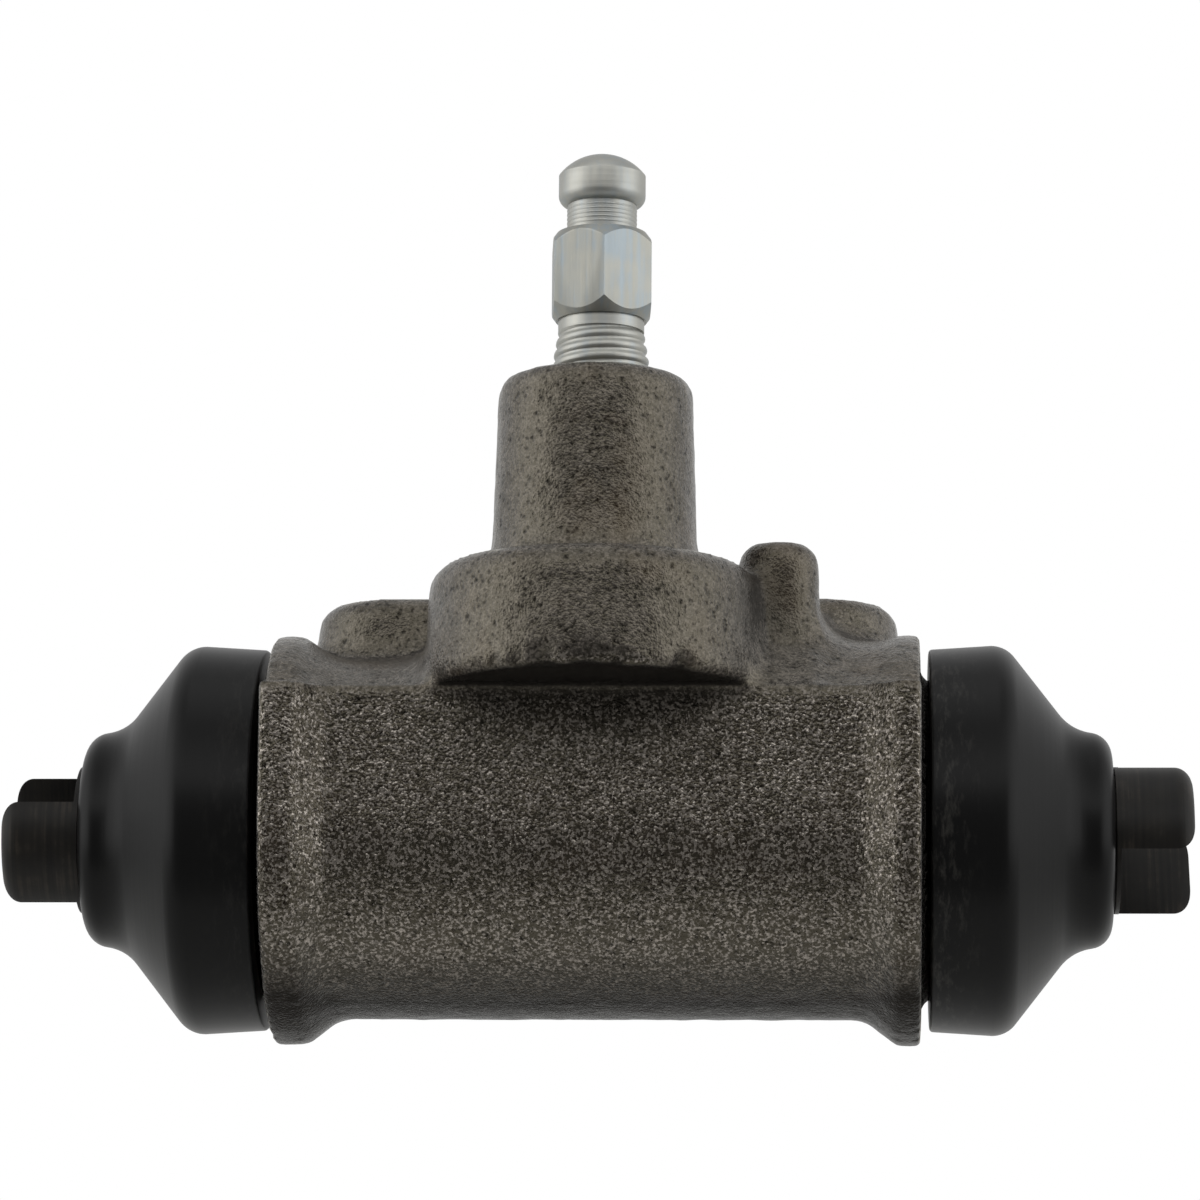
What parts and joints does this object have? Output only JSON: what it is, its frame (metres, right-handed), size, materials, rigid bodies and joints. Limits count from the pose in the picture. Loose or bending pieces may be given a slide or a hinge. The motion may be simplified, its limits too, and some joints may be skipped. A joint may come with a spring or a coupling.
{
  "type": "wheel cylinder",
  "caption": "Double-ended drum brake wheel cylinder: flanged cast barrel with mounting pad, bleeder tower, slotted pistons, rubber boots, cups and return spring.",
  "frame": {"origin": "midway between the two bolt holes, on the mounting face", "axes": "+X along the bore to the right-hand piston, +Z out of the mounting face along the bleeder, -Y towards the front with the pad and the pip"},
  "size_m": [0.0978, 0.0417, 0.0726],
  "materials": {
    "cast_iron": "sand cast, dark, unpainted",
    "zinc_plated_steel": "turned and zinc plated",
    "black_oxide_steel": "turned, black oxide",
    "seal_rubber": "smooth moulded",
    "pressed_steel": "pressed sheet",
    "spring_steel": "drawn wire",
    "boot_rubber": "satin moulded"
  },
  "bodies": {
    "casting": {"cylinder_body": "cast_iron", "left_boot": "boot_rubber", "right_boot": "boot_rubber", "return_spring": "spring_steel"},
    "bleeder": {"bleeder_screw": "zinc_plated_steel"},
    "left_piston_set": {"left_piston": "black_oxide_steel", "left_cup": "seal_rubber", "left_cup_expander": "pressed_steel"},
    "right_piston_set": {"right_piston": "black_oxide_steel", "right_cup": "seal_rubber", "right_cup_expander": "pressed_steel"}
  },
  "joints": [
    {"name": "left_piston_slide", "type": "slide", "parent": "casting", "child": "left_piston_set", "axis": [-1, 0, 0], "range_m": [-0.004, 0.006], "deforming": ["left_boot", "return_spring"]},
    {"name": "right_piston_slide", "type": "slide", "parent": "casting", "child": "right_piston_set", "axis": [1, 0, 0], "range_m": [-0.004, 0.006], "deforming": ["right_boot", "return_spring"]},
    {"name": "bleeder_turn", "type": "hinge", "parent": "casting", "child": "bleeder", "pos_m": [0.0004, -0.0166, 0], "axis": [0, 0, 1], "range_deg": [0, 360]}
  ]
}
